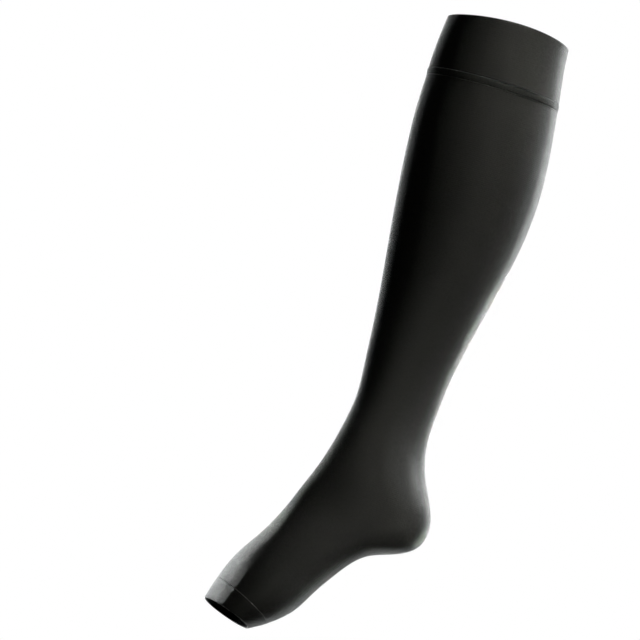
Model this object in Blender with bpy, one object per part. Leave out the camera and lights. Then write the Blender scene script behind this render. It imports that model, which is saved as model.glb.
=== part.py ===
"""A knee-high compression stocking with an open toe, filled out as a leg fills it.

Metres, +Z up. The leg runs along Z, the toes point to -X and the plane Y = 0 halves the
stocking. The origin is the middle of the top band, where the calf holds the stocking up.
Every piece is a closed wall laid on one surface, the outside of the knitted tube.
"""

from collections import namedtuple

import bmesh
import bpy
import numpy as np

MM = 0.001

# The cloth, in millimetres
KNIT_WALL = 1.2             # one layer of the knit
BAND_RISE = 1.1             # how far the doubled top band stands out from the leg
BAND_WALL = 2.2
STRIP_GAP = 0.3             # between the sewn strip and the leg under it
STRIP_LENGTH = 5.5
STRIP_WALL = 1.0
HEM_RISE = 0.25             # how far the turned toe hem stands out from the foot
HEM_WALL = 1.7
SEAM_GAP = 0.3              # between two pieces that are sewn end to end
RIM_SIDE_LIFT = 4.0         # the top edge is this much higher at its two sides

# How finely the surface is drawn
AROUND = 40                 # points in a ring
RING_STEP = 11.0            # millimetres between rings, at most half a table row
EDGE_STEPS = 4              # steps in the round of a folded edge
NORMAL_REACH = 0.5          # millimetres on each side of a ring, to find which way is out

# One row for each section, from the top edge to the toe, in millimetres. A section joins a
# point of the front line, down the shin and over the instep, to a point of the back line,
# down the calf, round the heel and along the sole. A narrow_back above 0 draws the section
# in towards the back line, like an egg, and one below 0 towards the front line.
Section = namedtuple("Section", "name front_x front_z back_x back_z width narrow_back")
SECTIONS = (
    Section("top_edge", -50.9, 24.0, 49.9, 24.0, 96.5, 0.00),
    Section("band", -53.3, 4.0, 51.3, 4.0, 98.5, 0.00),
    Section("band_seam", -55.3, -22.0, 55.3, -22.0, 103.3, -0.02),
    Section("calf_top", -56.4, -56.0, 59.4, -56.0, 107.0, -0.04),
    Section("calf", -55.0, -91.0, 61.7, -91.0, 109.0, -0.05),
    Section("calf_low", -52.2, -126.0, 60.4, -126.0, 106.0, -0.04),
    Section("shin_high", -48.7, -161.0, 55.0, -161.0, 97.0, -0.02),
    Section("shin_middle", -44.8, -196.0, 47.2, -196.0, 85.0, 0.00),
    Section("shin_low", -41.6, -231.0, 39.1, -231.0, 73.0, 0.05),
    Section("ankle_high", -39.3, -266.0, 32.4, -266.0, 63.0, 0.10),
    Section("ankle", -38.2, -298.0, 29.3, -298.0, 58.0, 0.16),
    Section("ankle_low", -40.2, -313.0, 28.8, -320.0, 59.0, 0.20),
    Section("bend_high", -45.0, -335.5, 34.1, -344.0, 63.5, 0.19),
    Section("bend_low", -51.2, -356.5, 42.4, -362.0, 67.5, 0.11),
    Section("heel_back", -57.8, -373.4, 49.6, -383.0, 68.0, 0.02),
    Section("heel_round", -62.6, -385.0, 46.0, -401.0, 67.0, -0.04),
    Section("heel_under", -67.0, -396.0, 28.0, -413.1, 66.0, -0.06),
    Section("arch_back", -72.0, -407.0, 5.6, -421.6, 66.5, -0.05),
    Section("arch", -78.5, -419.5, -13.6, -441.2, 70.0, -0.06),
    Section("midfoot", -86.0, -431.5, -28.6, -463.0, 76.0, -0.09),
    Section("ball_back", -94.2, -443.5, -39.0, -479.7, 82.5, -0.11),
    Section("ball", -101.6, -457.7, -50.0, -490.6, 85.5, -0.10),
    Section("hem_seam", -106.7, -471.9, -58.8, -497.0, 84.2, -0.06),
    Section("toe_edge", -111.8, -490.0, -72.8, -505.0, 78.5, 0.00),
)

# The knit's looks: colour, roughness and metallic value
LOOKS = {
    "leg_and_foot": ((0.022, 0.022, 0.020, 1.0), 0.85, 0.0),
    "top_band": ((0.018, 0.018, 0.017, 1.0), 0.88, 0.0),
    "seam_strip": ((0.026, 0.026, 0.024, 1.0), 0.82, 0.0),
    "toe_band": ((0.016, 0.016, 0.015, 1.0), 0.88, 0.0),
}


def column(name):
    """One column of the table."""
    return np.array([getattr(row, name) for row in SECTIONS])


def distances_down():
    """How far each row lies down the stocking, as the mean of its front and back lines."""
    front = np.hypot(np.diff(column("front_x")), np.diff(column("front_z")))
    back = np.hypot(np.diff(column("back_x")), np.diff(column("back_z")))
    return np.concatenate([[0.0], np.cumsum((front + back) / 2)])


DOWN = distances_down()
DOWN_TO = {row.name: down for row, down in zip(SECTIONS, DOWN)}


def bends(values):
    """Second derivatives of the natural cubic spline through a column."""
    count = len(DOWN)
    gaps = np.diff(DOWN)
    slopes = np.diff(values) / gaps
    matrix = np.eye(count)
    turns = np.zeros(count)
    for i in range(1, count - 1):
        matrix[i, i - 1:i + 2] = gaps[i - 1], 2 * (gaps[i - 1] + gaps[i]), gaps[i]
        turns[i] = 6 * (slopes[i] - slopes[i - 1])
    return np.linalg.solve(matrix, turns)


def spline(name):
    """A function that reads a column smoothly at any distance down the stocking."""
    values = column(name)
    bend = bends(values)

    def read(down):
        i = int(np.clip(np.searchsorted(DOWN, down) - 1, 0, len(DOWN) - 2))
        gap = DOWN[i + 1] - DOWN[i]
        t = down - DOWN[i]
        slope = (values[i + 1] - values[i]) / gap - gap * (2 * bend[i] + bend[i + 1]) / 6
        return values[i] + t * slope + t ** 2 * bend[i] / 2 + t ** 3 * (bend[i + 1] - bend[i]) / (6 * gap)

    return read


READ = {name: spline(name) for name in Section._fields[1:]}


def ring(down):
    """The ring of points on the outside of the knit, at a distance down the stocking."""
    turn = np.linspace(0, 2 * np.pi, AROUND, endpoint=False)
    front = np.array([READ["front_x"](down), READ["front_z"](down)])
    back = np.array([READ["back_x"](down), READ["back_z"](down)])
    forward = np.cos(turn)
    sideways = np.sin(turn) * (1 + READ["narrow_back"](down) * forward)
    middle, half = (front + back) / 2, (front - back) / 2
    up = np.array([-half[1], half[0]]) / -np.hypot(*half)
    to_top = max(0.0, 1 - down / DOWN_TO["band_seam"])
    lift = RIM_SIDE_LIFT * to_top ** 2 * np.sin(turn) ** 2
    plane = middle + np.outer(forward, half) + np.outer(lift, up)
    return np.column_stack([plane[:, 0], sideways * READ["width"](down) / 2, plane[:, 1]])


def outward(down):
    """Unit directions out of the knit at the points of a ring."""
    around = np.roll(ring(down), -1, axis=0) - np.roll(ring(down), 1, axis=0)
    along = ring(down + NORMAL_REACH) - ring(down - NORMAL_REACH)
    across = np.cross(around, along)
    return across / np.linalg.norm(across, axis=1)[:, None]


def even_downs(start, stop):
    """Distances from start to stop that meet every table row between them."""
    rows = [down for down in DOWN if start + 1 < down < stop - 1]
    marks = [start, *rows, stop]
    downs = [start]
    for low, high in zip(marks, marks[1:]):
        steps = max(2, round((high - low) / RING_STEP))
        downs += [low + (high - low) * (i + 1) / steps for i in range(steps)]
    return downs


def folded_edge(edge, inward, outer, wall):
    """The round of a fold, from the outer face to the inner one.

    inward is +1 where the cloth lies further down than the edge, and -1 where it lies above.
    """
    radius = wall / 2
    angles = np.linspace(0, np.pi, EDGE_STEPS + 1)
    return [(edge + inward * radius * (1 - np.sin(a)), outer - radius + radius * np.cos(a)) for a in angles]


def wall_body(name, profile):
    """A closed tube of cloth. Its profile is a loop of (distance down, height off the knit)."""
    mesh = bpy.data.meshes.new(name)
    body = bmesh.new()
    rings = []
    for down, height in profile:
        points = (ring(down) + outward(down) * height) * MM
        rings.append([body.verts.new(point) for point in points])
    for near, far in zip(rings, rings[1:] + rings[:1]):
        for i in range(AROUND):
            j = (i + 1) % AROUND
            body.faces.new((near[i], near[j], far[j], far[i]))
    bmesh.ops.recalc_face_normals(body, faces=body.faces)
    body.to_mesh(mesh)
    body.free()
    mesh.shade_smooth()
    mesh.set_sharp_from_angle(angle=np.radians(50))
    piece = bpy.data.objects.new(name, mesh)
    bpy.context.scene.collection.objects.link(piece)
    mesh.materials.append(knit(name))
    return piece


def knit(name):
    """The Principled material of one piece."""
    colour, roughness, metallic = LOOKS[name]
    material = bpy.data.materials.new(name)
    material.use_nodes = True
    shader = material.node_tree.nodes["Principled BSDF"]
    shader.inputs["Base Color"].default_value = colour
    shader.inputs["Roughness"].default_value = roughness
    shader.inputs["Metallic"].default_value = metallic
    return material


def leg_and_foot():
    """The knitted tube from the band's seam, down the leg, round the heel, to the toe hem."""
    downs = even_downs(DOWN_TO["band_seam"] + SEAM_GAP, DOWN_TO["hem_seam"] - SEAM_GAP)
    outside = [(down, 0.0) for down in downs]
    inside = [(down, -KNIT_WALL) for down in reversed(downs)]
    return wall_body("leg_and_foot", outside + inside)


def top_band():
    """The doubled band under the knee, folded over at its top edge."""
    fold = folded_edge(0.0, 1, BAND_RISE, BAND_WALL)
    downs = even_downs(BAND_WALL / 2, DOWN_TO["band_seam"])[1:]
    outside = [(down, BAND_RISE) for down in downs]
    inside = [(down, BAND_RISE - BAND_WALL) for down in reversed(downs)]
    return wall_body("top_band", fold[::-1] + outside + inside)


def seam_strip():
    """The sewn strip over the top of the leg. It swells a little towards its lower edge."""
    start = DOWN_TO["band_seam"] + SEAM_GAP
    shape = ((0.0, 0.9), (0.35, 1.0), (0.7, 1.1), (0.93, 1.0), (1.0, 0.7))
    outside = [(start + part * STRIP_LENGTH, STRIP_GAP + full * STRIP_WALL) for part, full in shape]
    inside = [(down, STRIP_GAP) for down, height in reversed(outside)]
    return wall_body("seam_strip", outside + inside)


def toe_band():
    """The turned hem round the open toe."""
    fold = folded_edge(DOWN_TO["toe_edge"], -1, HEM_RISE, HEM_WALL)
    downs = even_downs(DOWN_TO["hem_seam"], DOWN_TO["toe_edge"] - HEM_WALL / 2)[:-1]
    outside = [(down, HEM_RISE) for down in downs]
    inside = [(down, HEM_RISE - HEM_WALL) for down in reversed(downs)]
    return wall_body("toe_band", outside + fold + inside)


def clear_scene():
    for thing in list(bpy.data.objects):
        bpy.data.objects.remove(thing, do_unlink=True)


clear_scene()
leg_and_foot()
top_band()
seam_strip()
toe_band()
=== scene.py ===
"""The looks of a knee-high compression stocking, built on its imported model.

The frame is in metres, +Z up the leg, with the toes at -X. The garment's own sizes are in
millimetres. All the knit is drawn from one surface, the outside of the tube. A point on it
has a distance down the stocking, a turn round it (0 at the shin, pi at the calf) and a
height off the knit. A profile is a set of rows of (distance down, height).
"""

from collections import namedtuple

import bpy
import numpy as np
from mathutils import Matrix, Vector

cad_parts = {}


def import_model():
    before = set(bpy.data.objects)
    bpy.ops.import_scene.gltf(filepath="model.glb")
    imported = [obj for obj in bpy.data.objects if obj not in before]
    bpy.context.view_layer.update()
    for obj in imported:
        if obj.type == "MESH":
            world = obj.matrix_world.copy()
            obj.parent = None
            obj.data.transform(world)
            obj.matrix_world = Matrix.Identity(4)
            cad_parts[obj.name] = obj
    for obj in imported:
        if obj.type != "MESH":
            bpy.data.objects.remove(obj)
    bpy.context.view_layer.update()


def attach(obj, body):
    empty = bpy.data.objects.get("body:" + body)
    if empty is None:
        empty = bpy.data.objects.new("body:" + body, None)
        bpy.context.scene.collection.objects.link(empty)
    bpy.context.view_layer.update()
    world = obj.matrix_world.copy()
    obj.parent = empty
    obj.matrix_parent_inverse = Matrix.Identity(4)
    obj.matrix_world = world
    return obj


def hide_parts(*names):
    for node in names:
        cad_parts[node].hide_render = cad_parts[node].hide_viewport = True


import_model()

MM = 0.001
TAU = 2 * np.pi

# The cloth, in millimetres, as in the frame
KNIT_WALL = 1.2
BAND_RISE = 1.1             # how far the doubled top band stands out from the leg
BAND_WALL = 2.2
STRIP_LENGTH = 5.5
HEM_RISE = 0.25             # how far the turned toe hem stands out from the foot
HEM_WALL = 1.7
SEAM_GAP = 0.3              # between two pieces that are sewn end to end
RIM_SIDE_LIFT = 4.0         # the top edge is this much higher at its two sides

# One row for each section, from the top edge to the toe, in millimetres, as in the frame. A
# section joins a point of the front line to a point of the back line. A narrow_back above 0
# draws it in towards the back line, like an egg, and one below 0 towards the front line.
Section = namedtuple("Section", "name front_x front_z back_x back_z width narrow_back")
SECTIONS = (
    Section("top_edge", -50.9, 24.0, 49.9, 24.0, 96.5, 0.00),
    Section("band", -53.3, 4.0, 51.3, 4.0, 98.5, 0.00),
    Section("band_seam", -55.3, -22.0, 55.3, -22.0, 103.3, -0.02),
    Section("calf_top", -56.4, -56.0, 59.4, -56.0, 107.0, -0.04),
    Section("calf", -55.0, -91.0, 61.7, -91.0, 109.0, -0.05),
    Section("calf_low", -52.2, -126.0, 60.4, -126.0, 106.0, -0.04),
    Section("shin_high", -48.7, -161.0, 55.0, -161.0, 97.0, -0.02),
    Section("shin_middle", -44.8, -196.0, 47.2, -196.0, 85.0, 0.00),
    Section("shin_low", -41.6, -231.0, 39.1, -231.0, 73.0, 0.05),
    Section("ankle_high", -39.3, -266.0, 32.4, -266.0, 63.0, 0.10),
    Section("ankle", -38.2, -298.0, 29.3, -298.0, 58.0, 0.16),
    Section("ankle_low", -40.2, -313.0, 28.8, -320.0, 59.0, 0.20),
    Section("bend_high", -45.0, -335.5, 34.1, -344.0, 63.5, 0.19),
    Section("bend_low", -51.2, -356.5, 42.4, -362.0, 67.5, 0.11),
    Section("heel_back", -57.8, -373.4, 49.6, -383.0, 68.0, 0.02),
    Section("heel_round", -62.6, -385.0, 46.0, -401.0, 67.0, -0.04),
    Section("heel_under", -67.0, -396.0, 28.0, -413.1, 66.0, -0.06),
    Section("arch_back", -72.0, -407.0, 5.6, -421.6, 66.5, -0.05),
    Section("arch", -78.5, -419.5, -13.6, -441.2, 70.0, -0.06),
    Section("midfoot", -86.0, -431.5, -28.6, -463.0, 76.0, -0.09),
    Section("ball_back", -94.2, -443.5, -39.0, -479.7, 82.5, -0.11),
    Section("ball", -101.6, -457.7, -50.0, -490.6, 85.5, -0.10),
    Section("hem_seam", -106.7, -471.9, -58.8, -497.0, 84.2, -0.06),
    Section("toe_edge", -111.8, -490.0, -72.8, -505.0, 78.5, 0.00),
)

# What the sewing does to the cloth, in millimetres. A crease has its depth, how far it lies
# below the seam that makes it, and its reach to each side. A ridge stands out instead.
Crease = namedtuple("Crease", "depth below reach")
STRIP_RIDGE = Crease(0.25, 0.9, 0.45)       # of the leg, along the strip's lower edge
HEM_CREASE = Crease(0.15, 0.1, 0.4)         # of the foot, where the hem begins
HEM_TOP_CREASE = Crease(0.15, -0.1, 0.4)    # of the hem itself
BAND_CREASE = Crease(0.08, 0.1, 0.45)
UNDER_STRIP_DEPTH = 0.5     # the leg is drawn in under the strip
UNDER_STRIP_FADE = 0.6
BAND_NARROWING = 0.6        # the band is drawn in towards its seam
BAND_NARROWING_LENGTH = 24
BAND_NARROWING_POWER = 1.5
HEM_SWELLING_LENGTH = 3.0   # the hem rises to its full height over this length

# The outline of the strip: the share of its length, and the height off the knit
StripPoint = namedtuple("StripPoint", "share height")
STRIP_OUTLINE = (
    StripPoint(-0.06, -0.20),   # tucked under the band
    StripPoint(0.00, 0.38),
    StripPoint(0.06, 0.68),
    StripPoint(0.12, 0.81),
    StripPoint(0.20, 0.86),
    StripPoint(0.30, 0.84),
    StripPoint(0.42, 0.77),
    StripPoint(0.54, 0.66),
    StripPoint(0.66, 0.51),
    StripPoint(0.78, 0.31),
    StripPoint(0.88, 0.09),
    StripPoint(0.95, -0.11),
    StripPoint(1.00, -0.30),    # sunk into the groove of the leg
)
STRIP_UNDERSIDE = -0.38
STRIP_PUCKER = 0.04         # how far the strip wavers up and down as it goes round
STRIP_PUCKERS = 128         # round the leg

# The sewing, in millimetres
THREAD = 0.36               # its thickness
BAND_STITCH = 2.7
HEM_STITCH = 2.0
BAND_STITCH_RISE = 0.1      # how far a stitch bows up in its middle
HEM_STITCH_RISE = 0.12
HEM_STITCH_ABOVE = 0.15     # how far the stitches lie above the hem's seam
HEM_STITCH_HEIGHT = 0.02
STITCH_SHARE = 0.93         # how much of its place a stitch fills
STITCH_END = 0.03           # its ends are as thick as it is at this share of its length
STITCH_TAPER = 0.35         # a lower power keeps it full for longer

# Rows of stitches along the strip, as STRIP_OUTLINE places them
StitchRow = namedtuple("StitchRow", "name share height")
BAND_STITCH_ROWS = (
    StitchRow("band_stitches_upper", 0.16, 0.74),
    StitchRow("band_stitches_lower", 0.86, 0.10),
)

# How finely the cloth is drawn, with lengths in millimetres
AROUND = 180                # points in a ring
STRIP_AROUND = 768
RING_STEP = 2.6
INSIDE_STEP = 5.2
HEM_STEP = 1.2
HEM_INSIDE_STEP = 2.4
STRIP_INSIDE_STEP = 1.1
GROOVE_STEP = 0.25          # near the strip's lower edge
GROOVE_ABOVE = 0.5
GROOVE_BELOW = 2.5
SEAM_REACH = 2.0            # nearer to a seam than this, the rings lie closer
LEG_END_RINGS = np.array([1.2, 0.7, 0.3, 0.1, 0.0])     # distances from the seam
BAND_END_RINGS = np.array([1.2, 0.7, 0.4, 0.2, 0.0])
HEM_START_RINGS = np.array([0.0, 0.2, 0.5, 0.9, 1.4])
FOLD_STEPS = 8
PATH_POINTS = 240           # on the line that a row of stitches follows
STITCH_STEPS = 8
THREAD_SIDES = 6
REACH_DOWN = 0.5            # to each side, to find which way is out
REACH_ROUND = 0.01          # the same in radians

# The knit, as the machine makes it
NEEDLES = 400               # wales round the tube, the same from band to toe
COURSE = 0.8                # millimetres from one row of loops to the next

# The looks of each knit: the colour of the yarn, the colour of the gaps between its loops,
# which is darker as painted shade in the knit's recesses, the roughness, the depth of the
# relief in millimetres, and whether it shows the back of its loops
Knit = namedtuple("Knit", "yarn gap roughness relief reverse")
KNITS = {
    "leg_knit": Knit((0.0115, 0.0115, 0.0095), (0.003, 0.003, 0.0025), 0.52, 0.22, False),
    "leg_knit_reverse": Knit((0.016, 0.016, 0.014), (0.004, 0.004, 0.004), 0.65, 0.22, True),
    "band_knit": Knit((0.0145, 0.0145, 0.0125), (0.003, 0.003, 0.0025), 0.56, 0.16, False),
    "band_knit_inside": Knit((0.014, 0.014, 0.013), (0.004, 0.004, 0.004), 0.65, 0.22, False),
    "seam_knit": Knit((0.0135, 0.0135, 0.0115), (0.003, 0.003, 0.0025), 0.54, 0.22, False),
    # The hem's outer knit is darker than the leg's and than its own inside, which makes the toe darker.
    "hem_knit": Knit((0.007, 0.007, 0.006), (0.002, 0.002, 0.002), 0.54, 0.22, False),
    "hem_knit_inside": Knit((0.012, 0.012, 0.011), (0.003, 0.003, 0.003), 0.65, 0.22, False),
}
BAND_THREAD = (0.012, 0.012, 0.011)
# The hem's thread is pale grey, much lighter than the cloth: painted highlight for the shine along the
# hem's seam.
HEM_THREAD = (0.3, 0.3, 0.29)

# The form of one loop. Heights are shares of the relief.
LOOP_SLANT = 1.1            # how far a loop's legs lean, in courses for each wale
LEG_ROUNDNESS = 0.6         # the power of the legs' wave
LOOP_ENDS = 0.35            # how high the legs still stand where two loops meet
INLAY_POWER = 3.0           # the elastic yarn in every second course is narrow
INLAY_HEIGHT = 0.3
FIBRE_HEIGHT = 0.3
TUFT_HEIGHT = 0.3
YARN_COVER = 0.75           # how soon the yarn's colour covers the gaps' painted shade

# The noises. Their scales are counts for each metre, and for the streaks counts for each course.
FIBRE_SCALE = 2600.0
TUFT_SCALE = 700.0
TUFT_RANGE = (0.35, 0.65)   # the part of the noise that is spread from 0 to 1
DYE_SCALE = 30.0
DYE_RANGE = (0.88, 1.12)
STREAK_SCALE = 1.0
STREAK_STRETCH = (0.0, 0.7, 1.0)    # nothing varies across the wales
STREAK_RANGE = (0.80, 1.20)

# How the roughness varies
GLOSS_OF_TUFTS = 0.7
GLOSS_OF_YARN = 0.3
DULLER = 0.16               # added to the roughness where there is no gloss
GLOSSIER = 0.14             # taken from it where there is most

# The thread's plies. The ranges run from the gap between two plies to the top of one. The
# colour's darkening in the gaps is painted shade.
PLY_TURNS = 5.0             # along a stitch
PLY_COUNT = 3.0
PLY_RELIEF = 0.05           # millimetres
PLY_SHADE = (0.25, 1.0)
PLY_ROUGHNESS = (0.6, 0.5)
BLACK = (0.0, 0.0, 0.0, 1)


# ---------------------------------------------------------------- the knit's surface

def column(name):
    """One column of the table."""
    return np.array([getattr(row, name) for row in SECTIONS])


def distances_down():
    """How far each row lies down the stocking, as the mean of its front and back lines."""
    front = np.hypot(np.diff(column("front_x")), np.diff(column("front_z")))
    back = np.hypot(np.diff(column("back_x")), np.diff(column("back_z")))
    return np.concatenate([[0.0], np.cumsum((front + back) / 2)])


DOWN = distances_down()
DOWN_TO = {row.name: down for row, down in zip(SECTIONS, DOWN)}


def bends(values):
    """Second derivatives of the natural cubic spline through a column."""
    count = len(DOWN)
    gaps = np.diff(DOWN)
    slopes = np.diff(values) / gaps
    matrix = np.eye(count)
    turns = np.zeros(count)
    for i in range(1, count - 1):
        matrix[i, i - 1:i + 2] = gaps[i - 1], 2 * (gaps[i - 1] + gaps[i]), gaps[i]
        turns[i] = 6 * (slopes[i] - slopes[i - 1])
    return np.linalg.solve(matrix, turns)


def spline(name):
    """A function that reads a column smoothly at any distances down the stocking."""
    values = column(name)
    bend = bends(values)

    def read(down):
        i = np.clip(np.searchsorted(DOWN, down) - 1, 0, len(DOWN) - 2)
        gap = DOWN[i + 1] - DOWN[i]
        t = down - DOWN[i]
        slope = (values[i + 1] - values[i]) / gap - gap * (2 * bend[i] + bend[i + 1]) / 6
        cubic = (bend[i + 1] - bend[i]) / (6 * gap)
        return values[i] + t * slope + t ** 2 * bend[i] / 2 + t ** 3 * cubic

    return read


READ = {name: spline(name) for name in Section._fields[1:]}


def on_knit(down, turn):
    """Points on the outside of the knit, in millimetres."""
    down, turn = np.broadcast_arrays(np.asarray(down, float), np.asarray(turn, float))
    front = np.stack([READ["front_x"](down), READ["front_z"](down)], axis=-1)
    back = np.stack([READ["back_x"](down), READ["back_z"](down)], axis=-1)
    forward = np.cos(turn)
    sideways = np.sin(turn) * (1 + READ["narrow_back"](down) * forward)
    middle, half = (front + back) / 2, (front - back) / 2
    size = np.linalg.norm(half, axis=-1)
    up = np.stack([half[..., 1], -half[..., 0]], axis=-1) / size[..., None]
    to_top = np.maximum(0.0, 1 - down / DOWN_TO["band_seam"])
    lift = RIM_SIDE_LIFT * to_top ** 2 * np.sin(turn) ** 2
    plane = middle + forward[..., None] * half + lift[..., None] * up
    return np.stack([plane[..., 0], sideways * READ["width"](down) / 2, plane[..., 1]], axis=-1)


def outward(down, turn):
    """Unit directions out of the knit."""
    around = on_knit(down, turn + REACH_ROUND) - on_knit(down, turn - REACH_ROUND)
    along = on_knit(down + REACH_DOWN, turn) - on_knit(down - REACH_DOWN, turn)
    across = np.cross(around, along)
    return across / np.linalg.norm(across, axis=-1)[..., None]


def place(down, turn, height):
    """Points at a height off the knit, in metres."""
    down, turn, height = np.broadcast_arrays(*(np.asarray(a, float) for a in (down, turn, height)))
    return (on_knit(down, turn) + outward(down, turn) * height[..., None]) * MM


# ---------------------------------------------------------------- profiles

def even(start, stop, step):
    """Distances from start to stop, about a step apart."""
    return np.linspace(start, stop, max(2, round(abs(stop - start) / step) + 1))


def rows(downs, height):
    """A profile from its distances down, and one height or a height for each."""
    return np.column_stack([downs, np.broadcast_to(height, len(downs))])


def fold(edge, inward, outer, wall):
    """The profile of a folded edge, from the outer face to the inner one.

    inward is +1 where the cloth lies further down than the edge, and -1 where it lies above.
    """
    radius = wall / 2
    angles = np.linspace(0, np.pi, FOLD_STEPS + 1)
    down = edge + inward * radius * (1 - np.sin(angles))
    height = outer - radius + radius * np.cos(angles)
    return np.column_stack([down, height])


def crease_depth(downs, seam, crease):
    """How deep a crease is at each distance down."""
    return crease.depth * np.exp(-((downs - (seam + crease.below)) / crease.reach) ** 2)


# ---------------------------------------------------------------- meshes

def make_piece(name, points, faces, uvs, materials, wears=None):
    """A mesh object. wears gives each face the index of its material."""
    mesh = bpy.data.meshes.new(name)
    mesh.from_pydata(points.reshape(-1, 3), [], faces.reshape(-1, faces.shape[-1]).tolist())
    for map_name, corners in uvs.items():
        layer = mesh.uv_layers.new(name=map_name)
        layer.uv.foreach_set("vector", np.asarray(corners, np.float32).ravel())
    for material in materials:
        mesh.materials.append(material)
    if wears is not None:
        mesh.polygons.foreach_set("material_index", np.asarray(wears, np.int32).ravel())
    mesh.shade_smooth()
    piece = bpy.data.objects.new(name, mesh)
    bpy.context.scene.collection.objects.link(piece)
    return piece


def closed_tube(name, outside, inside, materials, around=AROUND, waver=None):
    """A tube of cloth from its outer and inner profiles.

    The outer profile runs down and the inner one back up, so that the faces point out.
    It wears the first material outside and the last inside. waver(down, turn) is added to
    the heights of the outer profile.
    """
    profile = np.vstack([outside, inside])
    turns = np.linspace(0, TAU, around, endpoint=False)
    down = profile[:, 0][:, None]
    height = profile[:, 1][:, None] + np.zeros(around)
    if waver:
        height[:len(outside)] += waver(down[:len(outside)], turns)
    points = place(down, turns[None, :], height)
    count = len(profile)
    i, j = np.meshgrid(np.arange(count), np.arange(around), indexing="ij")
    far, side = (i + 1) % count, (j + 1) % around
    faces = np.stack([i * around + j, i * around + side, far * around + side, far * around + j], -1)
    wears = np.where(i >= len(outside) - 1, len(materials) - 1, 0)
    # The knit's own map counts wales across and courses down.
    left, right = j * NEEDLES / around, (j + 1) * NEEDLES / around
    top, low = profile[i, 0] / COURSE, profile[far, 0] / COURSE
    knit_map = np.stack([left, top, right, top, right, low, left, low], -1)
    # The bake's map unrolls the tube once round, from the outer face to the inner one.
    steps = np.linalg.norm(np.diff(np.vstack([profile, profile[:1]]), axis=0), axis=1)
    share = np.concatenate([[0.0], np.cumsum(steps)]) / steps.sum()
    a, b = j / around, (j + 1) / around
    bake_map = np.stack([a, share[i], b, share[i], b, share[i + 1], a, share[i + 1]], -1)
    return make_piece(name, points, faces, {"Knit": knit_map, "OFBake": bake_map}, materials, wears)


def stitch_row(name, down, size, height, material, rise=BAND_STITCH_RISE):
    """Straight stitches round the tube, each a bowed thread whose ends go into the cloth.

    size is the length of a stitch, and rise how far its middle bows up.
    """
    path_turns = np.linspace(0, TAU, PATH_POINTS)
    path = place(down, path_turns, height) / MM
    length = np.linalg.norm(np.diff(path, axis=0), axis=1)
    travelled = np.concatenate([[0.0], np.cumsum(length)])
    count = round(travelled[-1] / size)
    # bow runs from 0 to 1 along a stitch, and full says how thick the thread is there.
    bow = np.linspace(0.0, 1.0, STITCH_STEPS + 1)
    full = np.sin(np.pi * bow.clip(STITCH_END, 1 - STITCH_END)) ** STITCH_TAPER
    along = (np.arange(count)[:, None] + 0.5 + (bow - 0.5) * STITCH_SHARE) * travelled[-1] / count
    turn = np.interp(along, travelled, path_turns)[..., None]
    radius = (THREAD / 2 * full)[None, :, None]
    lift = (height + rise * np.sin(np.pi * bow) - THREAD * (1 - full))[None, :, None]
    angles = np.linspace(0, TAU, THREAD_SIDES, endpoint=False)
    points = place(down + radius * np.cos(angles), turn, lift + radius * np.sin(angles))
    k, i, j = np.meshgrid(np.arange(count), np.arange(STITCH_STEPS), np.arange(THREAD_SIDES), indexing="ij")
    base = (k * (STITCH_STEPS + 1) + i) * THREAD_SIDES
    side = (j + 1) % THREAD_SIDES
    faces = np.stack([base + j, base + THREAD_SIDES + j, base + THREAD_SIDES + side, base + side], -1)
    u = np.stack([i, i + 1, i + 1, i], -1) / STITCH_STEPS
    v = np.stack([j, j, j + 1, j + 1], -1) / THREAD_SIDES
    return make_piece(name, points, faces, {"Thread": np.stack([u, v], -1)}, [material])


# ---------------------------------------------------------------- materials

class Net:
    """Shorthand for building one material's nodes."""

    def __init__(self, name):
        self.material = bpy.data.materials.new(name)
        self.material.use_nodes = True
        self.tree = self.material.node_tree
        self.shader = self.tree.nodes["Principled BSDF"]

    def put(self, value, socket):
        """Links a socket's value, or sets a plain one."""
        if isinstance(value, bpy.types.NodeSocket):
            self.tree.links.new(value, socket)
        else:
            socket.default_value = value

    def shade(self, **values):
        """Puts values on the shader's sockets, named with _ for a space."""
        for name, value in values.items():
            self.put(value, self.shader.inputs[name.replace("_", " ")])

    def node(self, kind, *values, **settings):
        """A node with its settings, and values for its first sockets."""
        made = self.tree.nodes.new(kind)
        for key, value in settings.items():
            setattr(made, key, value)
        for value, socket in zip(values, made.inputs):
            self.put(value, socket)
        return made

    def maths(self, operation, *values, clamp=False):
        """The result of a sum on plain numbers."""
        return self.node("ShaderNodeMath", *values, operation=operation, use_clamp=clamp).outputs[0]

    def wave(self, value, operation="SINE"):
        """The size of a sine or cosine, without its sign."""
        return self.maths("ABSOLUTE", self.maths(operation, value))

    def mix(self, share, first, second):
        """A colour between two others."""
        made = self.node("ShaderNodeMix", data_type="RGBA")
        for value, key in ((share, "Factor_Float"), (first, "A_Color"), (second, "B_Color")):
            self.put(value, next(x for x in made.inputs if x.identifier == key))
        return next(x for x in made.outputs if x.identifier == "Result_Color")

    def spread(self, value, low, high):
        """A value from 0 to 1 carried to the range from low to high."""
        return self.node("ShaderNodeMapRange", value, 0.0, 1.0, low, high).outputs[0]

    def noise(self, vector, scale, detail=2.0):
        """A smooth noise from 0 to 1."""
        made = self.node("ShaderNodeTexNoise")
        self.put(vector, made.inputs["Vector"])
        made.inputs["Scale"].default_value = scale
        made.inputs["Detail"].default_value = detail
        return made.outputs["Fac"]

    def relief(self, height, strength, depth):
        """Gives the surface a relief of this depth in millimetres."""
        bump = self.node("ShaderNodeBump")
        bump.inputs["Strength"].default_value = strength
        bump.inputs["Distance"].default_value = depth * MM
        self.put(height, bump.inputs["Height"])
        self.shade(Normal=bump.outputs[0])


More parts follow.
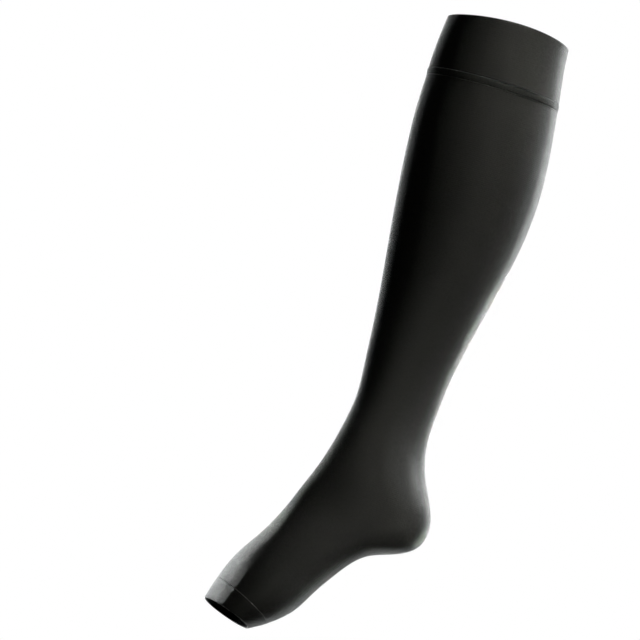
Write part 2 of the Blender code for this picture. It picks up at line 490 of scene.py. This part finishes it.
def cloth(name):
    """Fine elastic knit: its loops, the elastic yarn in every second course, uneven dye, and
    painted shade in the gaps between the loops.

    The right side shows columns of V, the reverse rows of small arcs.
    """
    look = KNITS[name]
    net = Net(name)
    # Each wale is two legs that lean together. The map counts wales across and courses down.
    knit = net.node("ShaderNodeUVMap", uv_map="Knit").outputs[0]
    wale, course = net.node("ShaderNodeSeparateXYZ", knit).outputs[:2]
    off_middle = net.maths("ABSOLUTE", net.maths("SUBTRACT", net.maths("FRACT", wale), 0.5))
    bowed = net.maths("MULTIPLY_ADD", off_middle, 0.0 if look.reverse else LOOP_SLANT, course)
    loop = net.wave(net.maths("MULTIPLY", bowed, np.pi))
    legs = net.wave(net.maths("MULTIPLY", wale, np.pi if look.reverse else TAU))
    legs = net.maths("POWER", legs, LEG_ROUNDNESS)
    body = net.maths("MULTIPLY", legs, net.spread(loop, LOOP_ENDS, 1.0))
    inlay = net.wave(net.maths("MULTIPLY", course, np.pi / 2), "COSINE")
    inlay = net.maths("POWER", inlay, INLAY_POWER)
    form = net.maths("MULTIPLY_ADD", inlay, INLAY_HEIGHT, body)

    where = net.node("ShaderNodeTexCoord").outputs["Object"]
    fibres = net.noise(where, FIBRE_SCALE, detail=3.0)
    tufts = net.noise(where, TUFT_SCALE, detail=1.0)
    tufts = net.node("ShaderNodeMapRange", tufts, *TUFT_RANGE, 0.0, 1.0).outputs[0]
    height = net.maths("MULTIPLY_ADD", fibres, FIBRE_HEIGHT, form)
    height = net.maths("MULTIPLY_ADD", tufts, TUFT_HEIGHT, height)
    net.relief(height, 0.6, look.relief)

    # Each course takes the dye a little differently, and the cloth varies over a hand's width.
    streaks = net.node("ShaderNodeVectorMath", knit, STREAK_STRETCH, operation="MULTIPLY").outputs[0]
    streaks = net.spread(net.noise(streaks, STREAK_SCALE), *STREAK_RANGE)
    dye = net.spread(net.noise(where, DYE_SCALE), *DYE_RANGE)
    # The gaps between the loops get a darker colour: painted shade in the knit's recesses.
    unshaded_share = net.maths("MULTIPLY", form, YARN_COVER, clamp=True)
    colour = net.mix(unshaded_share, (*look.gap, 1), (*look.yarn, 1))
    shaded = net.node("ShaderNodeVectorMath", colour, operation="SCALE")
    net.put(net.maths("MULTIPLY", streaks, dye), shaded.inputs["Scale"])
    gloss = net.maths("MULTIPLY_ADD", tufts, GLOSS_OF_TUFTS, net.maths("MULTIPLY", body, GLOSS_OF_YARN))
    net.shade(Base_Color=shaded.outputs[0],
              Roughness=net.spread(gloss, look.roughness + DULLER, look.roughness - GLOSSIER),
              Specular_IOR_Level=0.25,
              Sheen_Weight=1.0,
              Sheen_Roughness=0.16,
              Sheen_Tint=(0.96, 0.99, 1.0, 1))
    return net.material


def sewing_thread(name, colour):
    """Polyester thread, whose plies wind round it, with painted shade between them."""
    net = Net(name)
    spot = net.node("ShaderNodeUVMap", uv_map="Thread").outputs[0]
    along, around = net.node("ShaderNodeSeparateXYZ", spot).outputs[:2]
    wound = net.maths("MULTIPLY_ADD", along, PLY_TURNS, net.maths("MULTIPLY", around, PLY_COUNT))
    ply = net.wave(net.maths("MULTIPLY", wound, np.pi))
    net.relief(ply, 0.8, PLY_RELIEF)
    # The colour darkens between the plies: painted shade.
    net.shade(Base_Color=net.mix(net.spread(ply, *PLY_SHADE), BLACK, (*colour, 1)),
              Roughness=net.spread(ply, *PLY_ROUGHNESS),
              Specular_IOR_Level=0.25,
              Sheen_Weight=0.5,
              Sheen_Roughness=0.3)
    return net.material


# ---------------------------------------------------------------- pieces

def finish_piece(piece, node, threads=()):
    """Attaches a cloth piece and its threads to the root body, and hides the part of the model that it
    stands for.
    """
    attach(piece, "root")
    for thread in threads:
        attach(thread, "root")
    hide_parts(node)


def leg_and_foot():
    """The knitted tube from the band's seam, down the leg, round the heel, to the toe hem.

    The sewing draws it in under the strip, with a groove and a ridge at the strip's lower
    edge, and again at the hem.
    """
    start, stop = DOWN_TO["band_seam"] + SEAM_GAP, DOWN_TO["hem_seam"] - SEAM_GAP
    groove = start + STRIP_LENGTH
    downs = np.concatenate([
        even(start, groove - GROOVE_ABOVE, RING_STEP)[:-1],
        even(groove - GROOVE_ABOVE, groove + GROOVE_BELOW, GROOVE_STEP),
        even(groove + GROOVE_BELOW, stop - SEAM_REACH, RING_STEP)[1:],
        stop - LEG_END_RINGS,
    ])
    drawn_in = UNDER_STRIP_DEPTH * np.clip(1 - (downs - groove) / UNDER_STRIP_FADE, 0, 1)
    drawn_in -= crease_depth(downs, groove, STRIP_RIDGE)
    drawn_in += crease_depth(downs, stop, HEM_CREASE)
    outside = rows(downs, -drawn_in)
    inside = rows(even(stop, start, INSIDE_STEP), -KNIT_WALL)
    materials = [cloth("leg_knit"), cloth("leg_knit_reverse")]
    piece = closed_tube("leg_and_foot_knit", outside, inside, materials)
    finish_piece(piece, "leg_and_foot")


def top_band():
    """The doubled band under the knee, folded over at its top edge and drawn in at its seam."""
    seam = DOWN_TO["band_seam"]
    edge = fold(0.0, 1, BAND_RISE, BAND_WALL)[::-1]
    downs = np.concatenate([
        even(BAND_WALL / 2, seam - SEAM_REACH, RING_STEP)[1:],
        seam - BAND_END_RINGS,
    ])
    near_seam = np.clip((downs - seam) / BAND_NARROWING_LENGTH + 1, 0, 1)
    narrowing = BAND_NARROWING * near_seam ** BAND_NARROWING_POWER
    outside = rows(downs, BAND_RISE - narrowing - crease_depth(downs, seam, BAND_CREASE))
    inside = rows(even(seam, BAND_WALL / 2, INSIDE_STEP)[:-1], BAND_RISE - BAND_WALL)
    materials = [cloth("band_knit"), cloth("band_knit_inside")]
    piece = closed_tube("top_band_knit", np.vstack([edge, outside]), inside, materials)
    finish_piece(piece, "top_band")


def seam_strip():
    """The sewn strip over the top of the leg, with a row of thread along both its edges.

    Its upper edge comes out from under the band, and its lower part slopes down to the leg.
    """
    start = DOWN_TO["band_seam"] + SEAM_GAP

    def pucker(down, turn):
        """How far the strip wavers, most of all in its middle."""
        across = np.sin(np.pi * (down - start) / STRIP_LENGTH)
        return STRIP_PUCKER * np.cos(turn * STRIP_PUCKERS) * across

    outside = np.array([(start + point.share * STRIP_LENGTH, point.height) for point in STRIP_OUTLINE])
    inside = rows(even(start + STRIP_LENGTH, start, STRIP_INSIDE_STEP)[:-1], STRIP_UNDERSIDE)
    piece = closed_tube("seam_strip_knit", outside, inside, [cloth("seam_knit")], STRIP_AROUND, pucker)
    thread = sewing_thread("band_thread", BAND_THREAD)
    threads = [stitch_row(row.name, start + row.share * STRIP_LENGTH, BAND_STITCH, row.height, thread)
               for row in BAND_STITCH_ROWS]
    finish_piece(piece, "seam_strip", threads=threads)


def toe_band():
    """The turned hem round the open toe, whose stitches lie along its upper edge."""
    start, stop = DOWN_TO["hem_seam"], DOWN_TO["toe_edge"] - HEM_WALL / 2
    edge = fold(DOWN_TO["toe_edge"], -1, HEM_RISE, HEM_WALL)
    downs = np.concatenate([
        start + HEM_START_RINGS,
        even(start + SEAM_REACH, stop, HEM_STEP)[:-1],
    ])
    swelling = HEM_RISE * np.clip((downs - start) / HEM_SWELLING_LENGTH, 0, 1)
    outside = rows(downs, swelling - crease_depth(downs, start, HEM_TOP_CREASE))
    inside = rows(even(stop, start, HEM_INSIDE_STEP)[1:], HEM_RISE - HEM_WALL)
    materials = [cloth("hem_knit"), cloth("hem_knit_inside")]
    piece = closed_tube("toe_band_knit", np.vstack([outside, edge]), inside, materials)
    # The hem's pale thread colour is a painted highlight for its shine.
    thread = sewing_thread("hem_thread", HEM_THREAD)
    stitches = stitch_row("hem_stitches", start - HEM_STITCH_ABOVE, HEM_STITCH, HEM_STITCH_HEIGHT,
                          thread, HEM_STITCH_RISE)
    finish_piece(piece, "toe_band", threads=[stitches])


# ---------------------------------------------------------------- camera, lights, floor

PICTURE = 640                       # pixels across the picture
MM_PER_PIXEL = 0.816                # at the stocking's distance
SENSOR = 36.0                       # millimetres
LEAN = np.radians(16.3)             # the picture's tilt of the leg
CAMERA_DISTANCE = 5.5               # metres
CAMERA_REACH = 100                  # metres
CAMERA_TURN = np.radians(-9.0)      # round the leg, from the view along +Y
CAMERA_RISE = np.radians(-4.0)
AMBIENT = 0.004                     # how much of the white surround the cloth receives
FLOOR_HEIGHT = -0.78                # metres, as are the next two
FLOOR_SIZE = 2.4                    # its radius
FLOOR_FADE_START = 0.4              # from its middle
FLOOR_SIDES = 96
FLOOR_GREY = (0.80, 0.81, 0.82, 1)
WHITE = (1.0, 1.0, 1.0, 1)

# The points that the lamps face
MIDDLE = Vector((-0.0848, 0.0, -0.2468))    # the camera faces it too
BAND = Vector((0.02, 0.0, 0.05))
ANKLE = Vector((0.02, 0.0, -0.31))
HEEL = Vector((0.015, 0.0, -0.39))
TOE = Vector((-0.1035, 0.0, -0.462))
TOE_TIP = Vector((-0.110, 0.0, -0.478))

# The colours of the lamps
WARM = (1.0, 1.0, 0.93)
COOL = (0.97, 1.0, 1.0)

# One row for each lamp. angle and rise, in degrees, say where it stands as seen from the point
# it aims at: the angle is 0 at the camera and grows to the camera's right. wide and high are its
# size, in metres, and so is its distance. radiance is how bright its face is, where white is 1,
# and spread, in degrees, how far its light fans out.
Lamp = namedtuple("Lamp", "name angle rise wide high radiance distance aim spread colour")
LAMPS = (
    Lamp("softbox_low", 61, -24, 1.4, 0.8, 3.2, 1.6, MIDDLE, 180, WARM),
    Lamp("band_front", 61, 35, 0.2, 0.2, 4.5, 2.2, BAND, 14, WARM),
    Lamp("softbox_front", 25, 25, 0.8, 0.8, 2.4, 2.2, MIDDLE, 180, WARM),
    Lamp("back_right", 125, 3, 0.8, 1.4, 3.7, 2.2, MIDDLE, 180, COOL),
    Lamp("back_high", 142, 8, 0.8, 1.4, 6, 2.2, MIDDLE, 180, COOL),
    Lamp("back_middle", 150, 0, 0.3, 1.4, 25, 2.2, MIDDLE, 180, COOL),
    Lamp("back_low", 158, -20, 0.4, 1.2, 3.5, 2.0, MIDDLE, 180, COOL),
    Lamp("back_lowest", 172, -30, 0.4, 0.6, 4, 2.0, MIDDLE, 180, COOL),
    Lamp("back_left", -157, 0, 0.7, 2.4, 4, 2.2, MIDDLE, 180, COOL),
    Lamp("back_left_far", -168, 0, 0.5, 2.4, 14, 2.2, MIDDLE, 180, COOL),
    Lamp("ankle_back", 135, 20, 0.15, 0.15, 1.1, 1.2, ANKLE, 9, COOL),
    Lamp("ankle_side", 108, 20, 0.15, 0.15, 0.7, 1.2, ANKLE, 9, COOL),
    Lamp("heel_front", 42, 36, 0.15, 0.15, 0.85, 1.2, HEEL, 9, WARM),
    Lamp("toe_back", -157, 29, 0.12, 0.12, 0.9, 1.0, TOE, 9, COOL),
    Lamp("toe_side", -140, 30, 0.04, 0.04, 1.7, 1.0, TOE_TIP, 4.6, COOL),
)


def camera():
    """The photo's camera. Returns what is right, up and back as it sees the stocking."""
    data = bpy.data.cameras.new("camera")
    data.sensor_width = SENSOR
    data.lens = SENSOR * CAMERA_DISTANCE / (PICTURE * MM_PER_PIXEL * MM)
    data.clip_end = CAMERA_REACH
    thing = bpy.data.objects.new("camera", data)
    bpy.context.scene.collection.objects.link(thing)
    back = Vector((np.sin(CAMERA_TURN) * np.cos(CAMERA_RISE),
                   -np.cos(CAMERA_TURN) * np.cos(CAMERA_RISE),
                   np.sin(CAMERA_RISE)))
    lean_up = Vector((-np.sin(LEAN), 0, np.cos(LEAN)))
    right = lean_up.cross(back).normalized()
    up = back.cross(right)
    turn = Matrix((right, up, back)).transposed().to_4x4()
    thing.matrix_world = Matrix.Translation(MIDDLE + back * CAMERA_DISTANCE) @ turn
    bpy.context.scene.camera = thing
    return right, up, back


def light(lamp, right, up, back):
    """An area light that faces its aim, placed by the camera's own directions."""
    data = bpy.data.lights.new(lamp.name, "AREA")
    data.shape = "RECTANGLE"
    data.size, data.size_y = lamp.wide, lamp.high
    data.energy = lamp.radiance * np.pi * lamp.wide * lamp.high
    data.spread = np.radians(lamp.spread)
    data.color = lamp.colour
    thing = bpy.data.objects.new(lamp.name, data)
    bpy.context.scene.collection.objects.link(thing)
    angle, rise = np.radians(lamp.angle), np.radians(lamp.rise)
    level = right * np.sin(angle) + back * np.cos(angle)
    way = (level * np.cos(rise) + up * np.sin(rise)).normalized()
    stand = Matrix.Translation(lamp.aim + way * lamp.distance)
    thing.matrix_world = stand @ way.to_track_quat("Z", "Y").to_matrix().to_4x4()
    thing.visible_camera = False


def world():
    """A surround that the camera sees as white, and that hardly lights the cloth."""
    made = bpy.data.worlds.new("studio")
    bpy.context.scene.world = made
    made.use_nodes = True
    nodes, links = made.node_tree.nodes, made.node_tree.links
    nodes.clear()
    seen = nodes.new("ShaderNodeBackground")
    seen.inputs["Color"].default_value = WHITE
    seen.inputs["Strength"].default_value = 1.0
    dim = nodes.new("ShaderNodeBackground")
    dim.inputs["Color"].default_value = WHITE
    dim.inputs["Strength"].default_value = AMBIENT
    path = nodes.new("ShaderNodeLightPath")
    mix = nodes.new("ShaderNodeMixShader")
    out = nodes.new("ShaderNodeOutputWorld")
    links.new(path.outputs["Is Camera Ray"], mix.inputs[0])
    links.new(dim.outputs[0], mix.inputs[1])
    links.new(seen.outputs[0], mix.inputs[2])
    links.new(mix.outputs[0], out.inputs[0])


def floor():
    """A pale round floor, which meets the white surround at its edge.

    It throws no light back on the black cloth, and lets the lamps under it through.
    """
    ring = np.linspace(0, TAU, FLOOR_SIDES, endpoint=False)
    circle = np.column_stack([np.cos(ring), np.sin(ring), np.zeros(FLOOR_SIDES)])
    mesh = bpy.data.meshes.new("floor")
    mesh.from_pydata(circle * FLOOR_SIZE + (0, 0, FLOOR_HEIGHT), [], [range(FLOOR_SIDES)])
    thing = bpy.data.objects.new("floor", mesh)
    bpy.context.scene.collection.objects.link(thing)
    net = Net("floor")
    where = net.node("ShaderNodeTexCoord").outputs["Object"]
    flat = net.node("ShaderNodeVectorMath", where, (1.0, 1.0, 0.0), operation="MULTIPLY").outputs[0]
    far = net.node("ShaderNodeVectorMath", flat, operation="LENGTH").outputs["Value"]
    fade = net.node("ShaderNodeMapRange", far, FLOOR_FADE_START, FLOOR_SIZE, 0.0, 1.0,
                    interpolation_type="SMOOTHSTEP").outputs[0]
    net.shade(Emission_Color=net.mix(fade, FLOOR_GREY, WHITE),
              Emission_Strength=1.0,
              Base_Color=(0.06, 0.06, 0.06, 1),
              Roughness=0.9,
              Specular_IOR_Level=0.0)
    mesh.materials.append(net.material)
    thing.visible_diffuse = False
    thing.visible_glossy = False
    thing.visible_shadow = False


leg_and_foot()
top_band()
seam_strip()
toe_band()
view = camera()
world()
for row in LAMPS:
    light(row, *view)
floor()
bpy.context.scene.view_settings.view_transform = "Standard"
